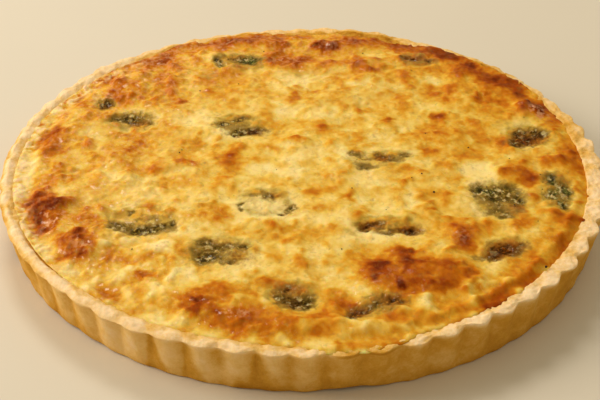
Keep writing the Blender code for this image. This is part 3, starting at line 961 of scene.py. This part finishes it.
def fine_relief(x, y):
    """Height of the bumps, puckers and strings, and how high each place stands by its neighbours."""
    bent_x = x + 0.0026 * noise_map(x, y, 0.0100, 21)
    bent_y = y + 0.0026 * noise_map(x, y, 0.0100, 31)
    outer = smooth((np.hypot(x, y) - 0.070) / 0.030)
    lively = 0.50 + 0.8 * noise_map(x, y, 0.030, 17) + 0.55 * smooth((-x - 0.03) / 0.06) + 0.45 * outer
    lively = np.clip(lively, 0.20, 1.4) * (1 - 0.8 * washed(x, y, SMOOTH_PLACES))
    blisters = domes(bent_x, bent_y, 0.0098, 15) * smooth(0.45 + 2.4 * noise_map(x, y, 0.019, 16))
    bumps = domes(bent_x, bent_y, 0.0050, 18) * smooth(0.70 + 1.8 * noise_map(x, y, 0.012, 19))
    small_bumps = domes(bent_x, bent_y, 0.0026, 20)
    strings = 1 - 2.6 * np.abs(noise_map(bent_x, bent_y, 0.0120, 11))
    fringe = left_fringe(x, y)
    height = lively * (BLISTER_RISE * blisters + BUMP_RISE * bumps + STRING_RISE * strings)
    height += ROPE_RISE * rope(x, y) + DOT_RISE * brown_dots(x, y)
    height += (0.00026 + 0.00014 * smooth((-x - 0.02) / 0.06) + 0.00060 * fringe) * small_bumps
    height += 0.00007 * noise_map(x, y, 0.0019, 14) - 0.0005
    return height, 0.52 * blisters + 0.42 * bumps + (0.10 + 0.80 * fringe) * small_bumps + 0.10 * strings


print("relief at the middle", round(fine_relief(np.zeros(1), np.zeros(1))[0][0] / MM, 2), "mm")

# %% Where the filling meets the pastry
CLIMB = 0.0013  # how far the filling climbs the rim's inner slope, where it ends under the pastry
CLIMB_BACK = 0.0011  # and how much further it goes at the back
CLIMB_ABOVE = 0.00035  # how far it stands above the rim's inner edge
CLIMB_UNDER = 0.00040  # and how far its own edge lies under the rim's slope
LOW_BY_LIP = -0.0006  # how high it stands where the rim's top reaches in over it
EDGE_BEVEL = 0.0004
WALL_TOUCH = 0.0035  # the filling meets the case's wall this far under the rim's top
UNDERSIDE = FLOOR_THICKNESS + 0.0002


def lipped(angle):
    """1 where the rim reaches in over the filling."""
    return ease(lip(angle) / LIP_RIGHT)


def climb(angle):
    """How far the filling goes beyond the rim's inner edge."""
    _, spread, reach = overflow(angle)
    reach *= 1 + 0.45 * wave_round(angle, 60, 5.5) + 0.25 * wave_round(angle, 150, 6.4)
    plain = CLIMB + 0.5 * MM * wave_round(angle, 40, 3.3) + 0.4 * MM * wave_round(angle, 90, 8.3)
    plain += CLIMB_BACK * nearness(angle, 82, 34)
    plain = mix(plain, CRACK_PLACE, cracked(angle)) * (1 - lipped(angle))
    return mix(plain, max(reach, plain), spread)


def side_rings(angle, edge_height):
    """Radius and height of the points down the filling's side, under its upper edge."""
    beyond = climb(angle)
    lower = rim_top(angle) - WALL_TOUCH
    return (
        (INNER_RIM_RADIUS + beyond, edge_height - EDGE_BEVEL),
        (inner_wall(lower) + min(beyond, 0.0003), lower),
        (INNER_FLOOR_RADIUS, UNDERSIDE),
    )


print("the filling goes", round(climb(0) / MM, 2), "mm beyond the rim's inner edge at the right")

# %% Raising the filling
RUN_UP = 0.0060  # the baked surface turns to meet the rim over this width
POCKET_DEPTH = 0.0009  # the filling dips this far under a clump of spinach
HIGH_FILLING = 0.0230  # a blister on the highest swells is flattened from this height
HIGH_ROOM = 0.0007  # and rises no further than this above it
SIDE_RINGS = 3
SIDE_STEP = 0.001


def surface_map(x, y):
    return np.array([baked_surface(a, b) for a, b in zip(x, y)])


def in_clumps(x, y, grow):
    """1 inside the clumps' ellipses grown by this factor, 0 outside, with a soft edge."""
    total = np.zeros_like(x)
    for clump_x, clump_y, half_length, half_width, turn in CLUMPS:
        a = math.radians(turn)
        from_x, from_y = x / MM - clump_x, y / MM - clump_y
        along = (from_x * math.cos(a) + from_y * math.sin(a)) / (half_length * grow)
        across = (from_y * math.cos(a) - from_x * math.sin(a)) / (half_width * grow)
        total = np.maximum(total, smooth((1.0 - np.hypot(along, across)) / 0.30))
    return total


def bend(x, y, layer):
    """Places bent by noise, so that no spot is a clean ellipse."""
    bent_x = x + 0.0026 * noise_map(x, y, 0.0060, layer) + 0.0012 * noise_map(x, y, 0.0020, layer + 1)
    bent_y = y + 0.0026 * noise_map(x, y, 0.0060, layer + 2) + 0.0012 * noise_map(x, y, 0.0020, layer + 3)
    return bent_x, bent_y


def custard_forms(x, y):
    """Height of the relief, how high each place stands, and how bare the spinach is there."""
    relief, high = fine_relief(x, y)
    bare = washed(*bend(x, y, 61), GROWN_LEAVES)
    crumple = 1 - 2 * np.abs(noise_map(*bend(x, y, 71), 0.0026, 75)) + 0.5 * noise_map(x, y, 0.0011, 76)
    relief = relief * (1 - 0.5 * bare) + bare * (LEAF_CRUMPLE * (crumple - 0.6) - LEAF_SINK)
    return relief, high, bare


def raise_filling(disc):
    """Moves the flat disc to the baked surface. Returns how high and how bare each point is."""
    points = points_of(disc)
    angle, share = round_out(points)
    degrees = np.round(np.degrees(angle), 2)
    known = {d: (climb(d), rim_top(d), overflow(d)[1], cracked(d), lipped(d)) for d in set(degrees)}
    reach, rim, spread, apart, under_lip = np.array([known[d] for d in degrees]).T
    radius = INNER_RIM_RADIUS * share + reach * smooth((share - 0.9) / 0.1)
    x, y = radius * np.cos(angle), radius * np.sin(angle)
    relief, high, bare = custard_forms(x, y)
    to_rim = smooth((radius - INNER_RIM_RADIUS + RUN_UP) / RUN_UP)
    beyond = np.maximum(radius - INNER_RIM_RADIUS, 0)
    slope = np.array([inner_slope(d, b) if b or t else 0.0 for d, b, t in zip(degrees, beyond, to_rim)])
    out = np.clip(beyond / np.maximum(reach, 0.0001), 0, 1) ** 2
    low = np.maximum(under_lip, 0.5 * apart)
    above = mix(mix(CLIMB_ABOVE, LOW_BY_LIP, low), 0.8 * OVERFLOW_THICKNESS, spread)
    under = mix(mix(CLIMB_UNDER, 0.0, apart), 0.2 * OVERFLOW_THICKNESS, spread)
    on_rim = rim - slope + mix(above, -under, out) + relief * 0.5 * (1 - out)
    wobble = 0.00040 * noise_map(x, y, 0.0034, 55) + 0.00020 * noise_map(x, y, 0.0014, 56)
    on_rim += (0.15 + out) * wobble
    z = mix(surface_map(x, y) + relief, on_rim, to_rim) - POCKET_DEPTH * in_clumps(x, y, 0.96)
    over = np.maximum(z - HIGH_FILLING, 0)
    z -= over - over / (1 + over / HIGH_ROOM)
    put_points(disc, np.column_stack((x, y, z)))
    return high, bare


def close_sides(disc):
    """Extrudes the disc's edge down the inside of the case and closes it underneath."""
    top_points = len(disc.data.vertices)
    rim_count = 6 * (DISC_CUTS[0] + 1) * (DISC_CUTS[1] + 1)
    open_edge()
    for _ in range(SIDE_RINGS):
        bpy.ops.mesh.extrude_edges_move(TRANSFORM_OT_translate={"value": (0, 0, -SIDE_STEP)})
    close_edge()
    bpy.ops.object.mode_set(mode="OBJECT")
    points = points_of(disc)
    for i in range(top_points, top_points + SIDE_RINGS * rim_count):
        ring = (i - top_points) // rim_count
        a = math.atan2(points[i, 1], points[i, 0])
        radius, height = side_rings(math.degrees(a), points[i, 2] + (ring + 1) * SIDE_STEP)[ring]
        points[i] = radius * math.cos(a), radius * math.sin(a), height
    points[-1] = 0, 0, UNDERSIDE
    put_points(disc, points)


filling = flat_disc("baked_filling", DISC_CUTS)
high, bare = raise_filling(filling)
close_sides(filling)
filling.data.shade_smooth()
print("filling triangles", triangles(filling))

# %% [markdown]
# Browning follows heat: high places and small bumps brown first, and the spots are where this pie caught
# the oven's heat. Spots that meet are laid over one another like washes of paint, so that two of them never
# go darker than burnt. Where the tops stay pale, the creases between them get painted shade, and a pink
# painted sheen lies on blisters and on the left and back. The green map shows where spinach lies close
# under the skin.

# %% The maps of browning, painted shade and sheen, and green
TOAST_LEVEL = 0.22  # of custard that the oven has only coloured
TOAST_MOST = 0.92
TOAST_LEAST = 0.07
TOAST_DOTS = 0.61


def custard_colour_maps(piece, high, bare):
    """Keeps what the custard finish reads as attributes of a piece."""
    x, y, _ = points_of(piece).T
    below = (0, len(x) - len(high))
    stand = np.pad(high, below)
    bent_x, bent_y = bend(x, y, 41)
    drawn_y = DOT_SQUEEZE * bent_y
    radius = np.hypot(x, y)
    left = smooth((-x - 0.010) / 0.09)
    back = smooth((y - 0.02) / 0.08)
    front_left = smooth(1.4 - np.hypot(x + 0.066, y + 0.075) / 0.040)
    round_rim = smooth(1.6 - np.abs(np.degrees(np.arctan2(y, x)) + 80) / 42)
    creased = np.maximum(front_left, round_rim * smooth((radius - 0.080) / 0.022))
    edge = smooth((radius / INNER_RIM_RADIUS - 0.88) / 0.10)
    left_edge = left_fringe(x, y)
    pale_tops_dark_creases = np.maximum(creased, left_edge)
    # The custard itself, and its pale places
    base = TOAST_LEVEL + 0.07 * left + 0.11 * back + 0.09 * smooth((x - 0.02) / 0.06) - 0.07 * front_left
    base += 0.15 * (1 - creased) + 0.05 * smooth((-y - 0.05) / 0.05) * (1 - front_left)
    base += 0.20 * noise_map(x, y, 0.020, 45) + 0.20 * noise_map(bent_x, drawn_y, 0.0068, 46)
    base += 0.09 * noise_map(bent_x, drawn_y, 0.0023, 49)
    halo = in_clumps(bent_x, bent_y, 1.55) - in_clumps(bent_x, bent_y, 1.1)
    pale = np.clip(washed(bent_x, bent_y, PALE) / 0.20 + 0.45 * np.maximum(halo, 0), 0, 1)
    base = mix(base, TOAST_LEAST, 0.75 * pale)
    # The browned places, broken up by noise, and the browned bumps
    burnt = washed(bent_x, bent_y, BROWNED)
    broken = 0.98 + 0.8 * noise_map(bent_x, drawn_y, 0.0060, 51)
    broken += 0.4 * noise_map(bent_x, drawn_y, 0.0025, 52)
    burnt = np.clip(burnt * mix(broken, 1.0, burnt ** 3 * 0.5), 0, 1)
    toast = mix(base, TOAST_MOST, burnt)
    little = 0.95 * brown_dots(x, y) * smooth(0.9 + 1.5 * noise_map(x, y, 0.030, 50))
    little = np.maximum(0.35 * smooth((noise_map(bent_x, bent_y, 0.0090, 47) - 0.24) / 0.35), little)
    toast = mix(toast, np.maximum(toast, TOAST_DOTS), little)
    # High places brown more; where the tops stay pale, the creases between them are painted darker, partly
    # browning and partly painted shade
    browned = np.maximum(burnt, little)
    by_height = mix(mix(0.50, -0.95, pale_tops_dark_creases), 0.55, browned) * (1 - 0.8 * smooth((browned - 0.75) / 0.25))
    toast += 0.55 * (stand - mix(0.30, 0.38, pale_tops_dark_creases)) * by_height * (1 - 0.35 * back)
    toast -= (0.20 + 0.30 * noise_map(x, y, 0.0030, 53)) * left_edge * (1 - burnt)
    # Along the rim at the right the custard is darker, painted shade under the rim and partly browning; at
    # the back it browns
    toast += (0.06 * back + 0.12 * smooth(x / 0.08)) * edge
    rust = washed(x, y, RUSTY)
    toast += 0.22 * rust * in_clumps(bent_x, bent_y, 1.3)
    crisp = 0.26 + 0.50 * left - 0.06 * back + 0.4 * (burnt + left_edge + noise_map(x, y, 0.016, 54))
    green = 0.85 * in_clumps(bent_x, bent_y, 1.25) * (1 - washed(bent_x, bent_y, CREAMY))
    # Towards the left and the back the custard is glossier, and a pink painted sheen is laid on it there
    sheen_and_gloss = 0.25 * smooth((-x - 0.02) / 0.07) * (1 - 0.8 * burnt) + 0.24 * back * (1 - smooth(x / 0.09))
    kept = {
        "toast": np.clip(toast, 0, 1),
        "crisp": np.clip(crisp, 0.15, 1.3),
        "green": np.clip(np.maximum(green, washed(bent_x, bent_y, UNDER_SKIN)), 0, 1),
        "leaf": np.pad(bare, below),
        "rust": rust,
        "fresh": washed(x, y, FRESH),
        # The blister map marks blisters and glossy places: there the coat is wetter and a pink painted
        # highlight is laid
        "blister": np.maximum(washed(bent_x, bent_y, BLISTERS), sheen_and_gloss),
        # The pale fringe lies on the tops only, leaving its creases with their painted shade
        "fringe": left_edge * (1 - burnt) * smooth((stand - 0.05) / 0.35),
    }
    for name, values in kept.items():
        set_attribute(piece, name, values)
    return toast


toast = custard_colour_maps(filling, high, bare)
print("browning from", round(float(toast.min()), 2), "to", round(float(toast.max()), 2))

# %% [markdown]
# Custard lets a little light in, so the finish has some subsurface scatter. The colour ramp goes from cream
# to yellow, gold, orange and dark brown. The skin is full of tiny bubbles, and fat on them makes wet glints;
# cream specks and pink patches in the colour are painted glints as well.
# The same finish serves the spinach: where the leaf map is high, torn leaf shows through as dark olive,
# with light flecks painted on it as glints.

# %% The baked custard finish
CUSTARD_STOPS = (
    (0.0, 243, 222, 156), (0.16, 238, 212, 134), (0.32, 227, 189, 87), (0.46, 214, 156, 42),
    (0.60, 192, 112, 14), (0.76, 152, 68, 4), (0.92, 104, 36, 2),
)
LEAF_STOPS = (
    (0.0, 30, 22, 4), (0.28, 62, 46, 10), (0.50, 100, 80, 26), (0.70, 144, 118, 48), (0.95, 206, 182, 110),
)
FRESH_STOPS = (
    (0.0, 14, 26, 10), (0.28, 30, 46, 18), (0.50, 64, 80, 36), (0.70, 122, 124, 62), (0.95, 200, 184, 128),
)
RUST_STOPS = ((0.0, 38, 14, 2), (0.35, 72, 34, 4), (0.60, 122, 64, 8), (0.9, 196, 128, 40))
SKIN_GREEN = srgb(176, 146, 66)
STAIN = srgb(136, 106, 42)
RUST_STAIN = srgb(136, 76, 12)
PAINTED_GLINT_CREAM = srgb(250, 222, 156)
PAINTED_BLISTER_SHINE = srgb(236, 178, 132)
FRINGE_CREAM = srgb(232, 204, 158)
PAINTED_LEAF_GLINT = srgb(228, 208, 150)


def custard_skin(look, toast, crisp, bubble, fleck, grain, blotch):
    """Colour of the custard: painted glints as cream specks, a pale fringe, and a pink painted highlight on
    blisters and glossy places.
    """
    mottled = mottle(toast, (blotch, 0.25), (grain, 0.02), (bubble, 0.07)) + (fleck - 0.5) * crisp * 0.24
    skin = look.ramp(mottled, CUSTARD_STOPS)
    painted_glints = look.patches(0.0010, 0.56, 0.68) * (crisp * 0.45) * look.step(toast, 0.75, 0.25)
    skin = look.blend(painted_glints, skin, PAINTED_GLINT_CREAM)
    skin = look.blend(look.read("fringe") * look.patches(0.0026, 0.34, 0.60) * 0.9, skin, FRINGE_CREAM)
    return look.blend(look.patches(0.0018, 0.42, 0.62) * look.read("blister") * 0.75, skin, PAINTED_BLISTER_SHINE)


def torn_leaves(look, rust, torn_fine, grain):
    """Colour of bare leaves, green or browned, with painted glints on them."""
    folds = look.noise(0.0026, 2.5, 0.55)
    shade = mottle(0.34, (folds, 1.4), (torn_fine, 1.6), (grain, 0.3)) - rust * 0.10
    leaves = look.blend(rust, look.ramp(shade, LEAF_STOPS), look.ramp(shade, RUST_STOPS))
    leaves = look.blend(look.read("fresh"), leaves, look.ramp(shade, FRESH_STOPS))
    return look.blend(look.patches(0.0024, 0.52, 0.68) * (0.75 - rust * 0.6), leaves, PAINTED_LEAF_GLINT)


def baked_custard(name):
    look = Finish(name, 0.5, 0.02, Subsurface_Weight=0.55, Subsurface_Radius=(1.0, 0.42, 0.12),
                  Subsurface_Scale=0.0025, Coat_Roughness=0.16)
    look.place = look.add("ShaderNodeMapping", "Vector", {"Vector": look.place, "Scale": (1.0, 0.8, 1.0)})
    toast, crisp, leaf, rust = (look.read(kept) for kept in ("toast", "crisp", "leaf", "rust"))
    blotch = look.noise(0.0042, 2.5, 0.55, 0.6)
    fleck = look.noise(0.0013, 3.0, 0.65)
    grain = look.noise(0.00045, 2.0, 0.7)
    torn_fine = look.noise(0.0010, 2.0, 0.5)
    bubble = look.bubbles(0.0022)
    custard = custard_skin(look, toast, crisp, bubble, fleck, grain, blotch)
    filmy = (look.patches(0.0030, 0.30, 0.62, 2.5, 0.55) + 0.35) * 0.62
    custard = look.blend(look.read("green") * filmy, custard, SKIN_GREEN)
    leaf_edge = mottle(leaf, (look.noise(0.0030, 2.5, 0.55, 0.5), 0.75), (torn_fine, 0.5))
    stained = look.step(leaf_edge, -0.05, 0.55) * 0.85
    custard = look.blend(stained, custard, look.blend(rust, STAIN, RUST_STAIN))
    leaves = torn_leaves(look, rust, torn_fine, grain)
    look.set("Base Color", look.blend(look.step(leaf_edge, 0.35, 1.0) * 0.92, custard, leaves))
    look.set("Roughness", mottle(0.50, (fleck, 0.4), (grain, 0.2)))
    wet = crisp + look.read("blister") + leaf * 0.4
    look.set("Coat Weight", look.patches(0.0018, 0.54, 0.66) * (wet * 0.45))
    look.bump((blotch, 0.3, 0.0004), (bubble * crisp, 0.25, 0.0006), (fleck * crisp, 0.16, 0.0004),
              (grain, 0.08, 0.0001))
    return look.material


hand_over(filling, baked_custard("baked custard"), "custard", "filling")
print("custard finish with", len(filling.active_material.node_tree.nodes), "nodes")

# %% [markdown]
# ## The clumps of spinach
#
# Cooked spinach was dropped into the custard in spoonfuls. Each clump lies just level with the surface: a
# few torn dark leaves, often at its lower edge, and a thin film of custard over the rest. A clump starts as
# a small disc like the filling's, laid on the same surface. Its rim dives under the custard, so the two run
# into each other. Its leaves crumple the skin where they were placed.

# %% Modelling the clumps
PAD_CUTS = (2, 11)
PAD_RISE = 0.0001  # how far a clump's film lies over the surface, and how far its edge lies under it
PAD_SKIRT = 0.0015
PAD_DEPTH = 0.0030


def pad_outline(angle, index):
    """Radius of the pad's uneven outline, as a share of its ellipse."""
    return 1.08 + 0.10 * noise.noise(Vector((1.3 * math.cos(angle), 1.3 * math.sin(angle), 5.3 * index)))


def make_clump(index):
    clump_x, clump_y, half_length, half_width = (MM * side for side in CLUMPS[index][:4])
    turn = math.radians(CLUMPS[index][4])
    pad = flat_disc("spinach_clump_%02d" % (index + 1), PAD_CUTS)
    top_points = len(pad.data.vertices)
    open_edge()
    bpy.ops.mesh.extrude_edges_move(TRANSFORM_OT_translate={"value": (0, 0, -PAD_SKIRT)})
    close_edge()
    bpy.ops.object.mode_set(mode="OBJECT")
    points = points_of(pad)
    angle, share = round_out(points[:top_points])
    outline = np.array([pad_outline(a, index) for a in angle])
    along = half_length * share * outline * np.cos(angle)
    across = half_width * share * outline * np.sin(angle)
    x = clump_x + along * math.cos(turn) - across * math.sin(turn)
    y = clump_y + along * math.sin(turn) + across * math.cos(turn)
    relief, high, bare = custard_forms(x, y)
    height = surface_map(x, y) + relief + PAD_RISE * (2 * smooth((1 - share) / 0.3) - 1)
    points[:top_points] = np.column_stack((x, y, height))
    rim_count = len(points) - top_points - 1
    rim = np.argsort(share)[-rim_count:]
    lower = points[top_points:top_points + rim_count]
    lower_angle = np.arctan2(lower[:, 1], lower[:, 0])
    for i, low_angle in enumerate(lower_angle):
        nearest = rim[np.argmin(np.abs((angle[rim] - low_angle + math.pi) % math.tau - math.pi))]
        points[top_points + i] = points[nearest] - np.array((0, 0, PAD_SKIRT))
    points[-1] = clump_x, clump_y, baked_surface(clump_x, clump_y) - PAD_DEPTH
    put_points(pad, points)
    bpy.ops.object.shade_smooth_by_angle(angle=math.radians(60))
    custard_colour_maps(pad, high, bare)
    return pad


spinach_finish = baked_custard("spinach in custard")
for index in range(len(CLUMPS)):
    hand_over(make_clump(index), spinach_finish, "spinach", "spinach_%02d" % (index + 1))
print(len(CLUMPS), "clumps")

# %% [markdown]
# A little ground pepper was cracked over the pie. Each grain is a tiny faceted lump, half sunk in the
# surface. A few grains lie where this pie shows them, and the rest are strewn, with a fixed seed.

# %% Ground pepper
PEPPER_SEEN = ((53, -23, 0.45), (49, -10, 0.35), (91, -73.5, 0.50), (-52, 8, 0.30), (20, -20, 0.30))  # mm
PEPPER_MORE = 26
PEPPER_REACH = 0.105
PEPPER_SIZES = (0.16, 0.32)  # radius in millimetres
PEPPER_SEED = 5
PEPPER_LUMPS = 0.00010
PEPPER_LUMP_SPACING = 0.0003


def add_pepper():
    shaker = random.Random(PEPPER_SEED)
    grains = [(x * MM, y * MM, size * MM) for x, y, size in PEPPER_SEEN]
    for _ in range(PEPPER_MORE):
        a, r = shaker.uniform(0, math.tau), PEPPER_REACH * math.sqrt(shaker.random())
        grains.append((r * math.cos(a), r * math.sin(a), shaker.uniform(*PEPPER_SIZES) * MM))
    surface = [fine_relief(np.array([x]), np.array([y]))[0][0] + baked_surface(x, y) for x, y, _ in grains]
    bpy.ops.object.select_all(action="DESELECT")
    made = []
    for (x, y, size), z in zip(grains, surface):
        bpy.ops.mesh.primitive_ico_sphere_add(subdivisions=2, radius=size, location=(x, y, z + 0.3 * size))
        made.append(bpy.context.object)
    for grain in made:
        grain.select_set(True)
    bpy.ops.object.join()
    bpy.ops.object.transform_apply(location=True, rotation=True, scale=True)
    pepper = name_piece("ground_pepper")
    points = points_of(pepper)
    noise.seed_set(PEPPER_SEED)  # noise_vector is shifted by a seed, which would be the clock's time
    lumps = [noise.noise_vector(Vector(point) / PEPPER_LUMP_SPACING) for point in points]
    put_points(pepper, points + PEPPER_LUMPS * np.array(lumps))
    return pepper


def peppercorn():
    look = Finish("ground pepper", 0.7, 0.2)
    speck = look.noise(0.0003, 2.0)
    look.set("Base Color", look.ramp(speck, ((0.3, 20, 14, 8), (0.6, 62, 44, 22), (0.9, 120, 92, 52))))
    look.bump((speck, 0.5, 0.0001))
    return look.material


hand_over(add_pepper(), peppercorn(), "spinach")
print(len(PEPPER_SEEN) + PEPPER_MORE, "grains of pepper")
